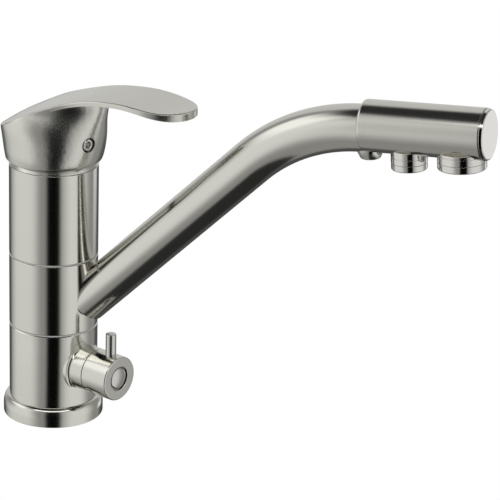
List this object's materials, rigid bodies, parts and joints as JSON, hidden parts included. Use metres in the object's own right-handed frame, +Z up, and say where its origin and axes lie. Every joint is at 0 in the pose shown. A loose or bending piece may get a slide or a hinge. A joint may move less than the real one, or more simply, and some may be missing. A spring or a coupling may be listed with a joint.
{
  "type": "kitchen mixer tap",
  "caption": "Single-lever kitchen mixer tap with a rising swivel spout, a head with mains and filtered-water outlets, and a side valve with a pin lever for filtered water.",
  "frame": {"origin": "centre of the foot ring on the deck plane, on the axis of the column", "axes": "+Z up along the column, +X along the spout and the lever at rest, +Y to the side away from the filtered-water valve"},
  "size_m": [0.2595, 0.0524, 0.2013],
  "materials": {
    "brushed_nickel": "brushed nickel plate",
    "polished_chrome": "polished bright plate",
    "bare_brass": "machined brass",
    "black_rubber": "moulded seal rubber",
    "slip_plastic": "low-friction plastic",
    "cartridge_plastic": "moulded plastic",
    "disc_ceramic": "lapped fired ceramic",
    "steel_mesh": "pierced stainless sheet"
  },
  "bodies": {
    "deck_body": {"foot_ring": "brushed_nickel", "deck_gasket": "black_rubber", "lower_body": "brushed_nickel", "column": "bare_brass", "column_foot_seal": "black_rubber", "swivel_seals": "black_rubber", "lower_slip_ring": "slip_plastic", "upper_slip_ring": "slip_plastic", "upper_body": "brushed_nickel", "cartridge_base": "cartridge_plastic", "port_seals": "black_rubber", "fixed_disc": "disc_ceramic", "cartridge_housing": "cartridge_plastic", "cartridge_nut": "bare_brass", "dome_ring": "brushed_nickel", "valve_collar": "brushed_nickel", "valve_end_seal": "black_rubber", "valve_fixed_disc": "disc_ceramic", "valve_headwork": "bare_brass"},
    "handle_turret": {"turret": "cartridge_plastic", "pivot_pin": "polished_chrome"},
    "disc_pack": {"disc_carrier": "cartridge_plastic", "moving_disc": "disc_ceramic"},
    "lever": {"lever_handle": "brushed_nickel", "lever_set_screw": "polished_chrome", "spindle": "bare_brass"},
    "spout": {"swivel_sleeve": "brushed_nickel", "spout_tube": "brushed_nickel", "tube_end_seal": "black_rubber", "filtered_hose": "slip_plastic", "hose_nipple": "bare_brass", "hose_end_fitting": "bare_brass", "spout_head": "brushed_nickel", "head_end_cap": "polished_chrome", "head_lock_screw": "polished_chrome", "mains_collar": "polished_chrome", "mains_shell": "polished_chrome", "mains_washer": "black_rubber", "mains_insert": "slip_plastic", "mains_mesh": "steel_mesh", "filtered_collar": "polished_chrome", "filtered_shell": "polished_chrome", "filtered_washer": "black_rubber", "filtered_insert": "slip_plastic", "filtered_mesh": "steel_mesh"},
    "filter_valve": {"valve_moving_disc": "disc_ceramic", "valve_spindle": "bare_brass", "spindle_seal": "black_rubber", "filter_knob": "brushed_nickel", "knob_pin": "polished_chrome", "knob_screw": "polished_chrome", "knob_cap": "brushed_nickel"}
  },
  "joints": [
    {"name": "spout_swivel", "type": "hinge", "parent": "deck_body", "child": "spout", "pos_m": [0, 0, 0.0696], "axis": [0, 0, 1], "continuous": true},
    {"name": "handle_turn", "type": "hinge", "parent": "deck_body", "child": "handle_turret", "pos_m": [0, 0, 0.126], "axis": [0, 0, 1], "range_deg": [-45, 45]},
    {"name": "lever_lift", "type": "hinge", "parent": "handle_turret", "child": "lever", "pos_m": [0, 0, 0.126], "axis": [0, -1, 0], "range_deg": [0, 25]},
    {"name": "disc_slide", "type": "slide", "parent": "handle_turret", "child": "disc_pack", "axis": [1, 0, 0], "range_m": [0, 0.0051]},
    {"name": "filter_knob_turn", "type": "hinge", "parent": "deck_body", "child": "filter_valve", "pos_m": [0.03671, -0.00983, 0.0302], "axis": [0.9659, -0.2588, 0], "range_deg": [0, 90]}
  ],
  "couplings": [
    {"joint": "disc_slide", "follows": "lever_lift", "m_per_rad": 0.01162}
  ]
}
